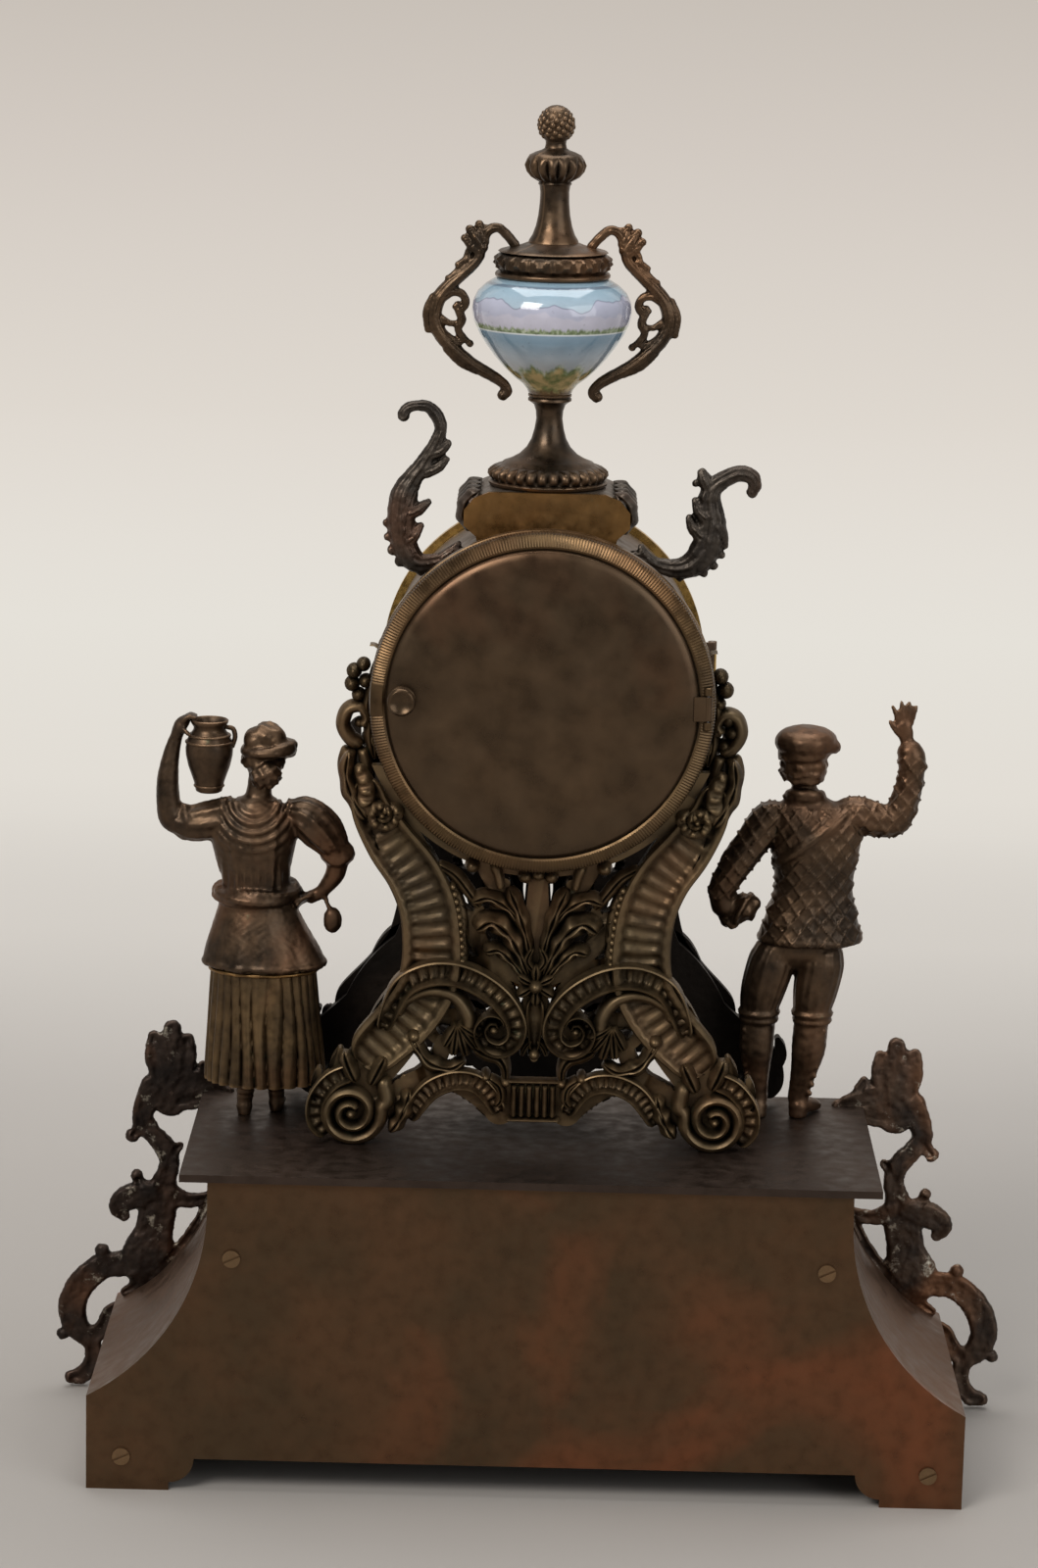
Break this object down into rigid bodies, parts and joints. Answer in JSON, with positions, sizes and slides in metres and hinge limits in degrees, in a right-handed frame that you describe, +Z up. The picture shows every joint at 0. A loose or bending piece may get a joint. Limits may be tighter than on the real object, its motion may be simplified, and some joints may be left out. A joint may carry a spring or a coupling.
{
  "type": "figural mantel clock",
  "caption": "Mantel clock with a waisted plinth, a drum on pierced scroll legs, a painted urn on top, and a woman with a jug and a waving man beside it.",
  "frame": {"origin": "bottom centre of the whole clock's bounding box, on the surface it stands on", "axes": "+Z up, +Y the way the dial faces, -Y the back with the round door, +X to the right of someone who looks at the back"},
  "size_m": [0.3278, 0.124, 0.4487],
  "materials": {
    "plinth_brass": "old patina, brown and olive with copper patches",
    "plate_bronze": "dark brown patina, fine scratches",
    "sheet_brass": "greyish brown patina",
    "rough_casting": "rough back of a casting, brown and black with copper patches",
    "casting_bronze": "greenish brown cast bronze, rubbed high spots",
    "black_casting": "black inner side of a casting",
    "drum_brass": "greyish brown patina",
    "ring_brass": "copper coloured knurled brass",
    "door_brass": "dark olive brown patina",
    "gilt_brass": "gilt, turned",
    "clear_glass": "clear",
    "dial_enamel": "white enamel with black numerals",
    "hand_steel": "blued steel",
    "clean_brass": "polished movement brass",
    "movement_steel": "bright steel",
    "spring_steel": "blue grey spring steel",
    "bell_bronze": "bright bell metal",
    "figure_bronze": "brown patina, rubbed bright on the high spots",
    "porcelain": "glazed and painted porcelain",
    "orange_brass": "orange brown brass with green spots",
    "screw_brass": "dark brass, slotted"
  },
  "bodies": {
    "case": {"base_rear_panel": "plinth_brass", "base_front_panel": "plinth_brass", "front_plaque": "porcelain", "base_sides": "sheet_brass", "base_corner_blocks": "clean_brass", "base_panel_screws": "screw_brass", "base_top_plate": "plate_bronze", "side_mount_left": "rough_casting", "side_mount_right": "rough_casting", "drum": "drum_brass", "rear_ring": "ring_brass", "hinge_pins": "movement_steel", "dial": "dial_enamel", "movement_back_plate": "clean_brass", "movement_front_plate": "clean_brass", "case_straps": "clean_brass", "mainsprings": "spring_steel", "pendulum_cock": "clean_brass", "bell": "bell_bronze", "rear_waist_frame": "casting_bronze", "front_waist_frame": "black_casting", "fixing_studs": "movement_steel", "drum_leaves": "casting_bronze", "top_scroll_left": "casting_bronze", "top_scroll_right": "casting_bronze", "pedestal_back_plate": "orange_brass", "urn_pedestal": "casting_bronze", "urn_foot": "casting_bronze", "urn_bowl": "porcelain", "urn_lid": "casting_bronze", "urn_neck": "casting_bronze", "urn_finial": "casting_bronze", "urn_rod": "movement_steel", "urn_handles": "casting_bronze", "woman_skirt": "figure_bronze", "woman_jug": "figure_bronze", "woman_upper": "figure_bronze", "woman_legs": "figure_bronze", "man_upper": "figure_bronze", "man_legs": "figure_bronze"},
    "door": {"rear_door": "door_brass", "door_knob": "door_brass"},
    "bezel": {"front_bezel": "gilt_brass", "bezel_glass": "clear_glass"},
    "centre_arbor": {"centre_wheel_arbor": "clean_brass", "minute_hand": "hand_steel"},
    "hour_pipe": {"hour_wheel": "clean_brass", "hour_hand": "hand_steel"},
    "minute_wheel": {"minute_wheel": "clean_brass"},
    "intermediate_wheel": {"intermediate_wheel": "clean_brass"},
    "third_wheel": {"third_wheel": "clean_brass"},
    "escape_wheel": {"escape_wheel": "clean_brass"},
    "time_barrel": {"time_barrel": "clean_brass"},
    "strike_barrel": {"strike_barrel": "clean_brass"},
    "strike_pin_wheel": {"strike_pin_wheel": "clean_brass"},
    "time_winding_arbor": {"time_winding_arbor": "movement_steel"},
    "strike_winding_arbor": {"strike_winding_arbor": "movement_steel"},
    "anchor": {"anchor_and_crutch": "movement_steel"},
    "pendulum": {"pendulum": "clean_brass"},
    "hammer": {"hammer": "movement_steel"}
  },
  "joints": [
    {"name": "rear_door_hinge", "type": "hinge", "parent": "case", "child": "door", "pos_m": [0.0532, -0.0335, 0.26], "axis": [0, 0, 1], "range_deg": [0, 85]},
    {"name": "bezel_hinge", "type": "hinge", "parent": "case", "child": "bezel", "pos_m": [0.0572, 0.0505, 0.26], "axis": [0, 0, -1], "range_deg": [0, 95]},
    {"name": "centre_arbor_turn", "type": "hinge", "parent": "case", "child": "centre_arbor", "pos_m": [0, 0.03, 0.26], "axis": [0, -1, 0], "continuous": true},
    {"name": "hour_hand_turn", "type": "hinge", "parent": "case", "child": "hour_pipe", "pos_m": [0, 0.043, 0.26], "axis": [0, -1, 0], "continuous": true},
    {"name": "minute_wheel_turn", "type": "hinge", "parent": "case", "child": "minute_wheel", "pos_m": [-0.01088, 0.04, 0.25493], "axis": [0, -1, 0], "continuous": true},
    {"name": "intermediate_wheel_turn", "type": "hinge", "parent": "case", "child": "intermediate_wheel", "pos_m": [-0.01614, 0.02, 0.26677], "axis": [0, -1, 0], "continuous": true},
    {"name": "third_wheel_turn", "type": "hinge", "parent": "case", "child": "third_wheel", "pos_m": [-0.0031, 0.025, 0.27773], "axis": [0, -1, 0], "continuous": true},
    {"name": "escape_wheel_turn", "type": "hinge", "parent": "case", "child": "escape_wheel", "pos_m": [0, 0.015, 0.29343], "axis": [0, -1, 0], "continuous": true},
    {"name": "time_barrel_turn", "type": "hinge", "parent": "case", "child": "time_barrel", "pos_m": [-0.0192, 0.015, 0.246], "axis": [0, -1, 0], "continuous": true},
    {"name": "strike_barrel_turn", "type": "hinge", "parent": "case", "child": "strike_barrel", "pos_m": [0.0192, 0.015, 0.246], "axis": [0, -1, 0], "continuous": true},
    {"name": "strike_pin_wheel_turn", "type": "hinge", "parent": "case", "child": "strike_pin_wheel", "pos_m": [0.01614, 0.02, 0.26677], "axis": [0, -1, 0], "continuous": true},
    {"name": "time_winding_arbor_turn", "type": "hinge", "parent": "case", "child": "time_winding_arbor", "pos_m": [-0.0192, 0.03, 0.246], "axis": [0, -1, 0], "continuous": true},
    {"name": "strike_winding_arbor_turn", "type": "hinge", "parent": "case", "child": "strike_winding_arbor", "pos_m": [0.0192, 0.03, 0.246], "axis": [0, -1, 0], "continuous": true},
    {"name": "pendulum_swing", "type": "hinge", "parent": "case", "child": "pendulum", "pos_m": [0, -0.0029, 0.3015], "axis": [0, -1, 0], "range_deg": [-3, 3]},
    {"name": "anchor_rock", "type": "hinge", "parent": "case", "child": "anchor", "pos_m": [0, 0.015, 0.3015], "axis": [0, -1, 0], "range_deg": [-3.3, 3.3]},
    {"name": "hammer_swing", "type": "hinge", "parent": "case", "child": "hammer", "pos_m": [-0.03, -0.012, 0.27], "axis": [0, 1, 0], "range_deg": [0, 12]}
  ],
  "couplings": [
    {"joint": "hour_hand_turn", "follows": "centre_arbor_turn", "ratio": 0.083333},
    {"joint": "minute_wheel_turn", "follows": "centre_arbor_turn", "ratio": -0.33333},
    {"joint": "intermediate_wheel_turn", "follows": "centre_arbor_turn", "ratio": -0.16667},
    {"joint": "time_barrel_turn", "follows": "centre_arbor_turn", "ratio": 0.027778},
    {"joint": "third_wheel_turn", "follows": "centre_arbor_turn", "ratio": -8},
    {"joint": "escape_wheel_turn", "follows": "centre_arbor_turn", "ratio": 56},
    {"joint": "strike_pin_wheel_turn", "follows": "strike_barrel_turn", "ratio": -6},
    {"joint": "anchor_rock", "follows": "pendulum_swing", "ratio": 1}
  ]
}
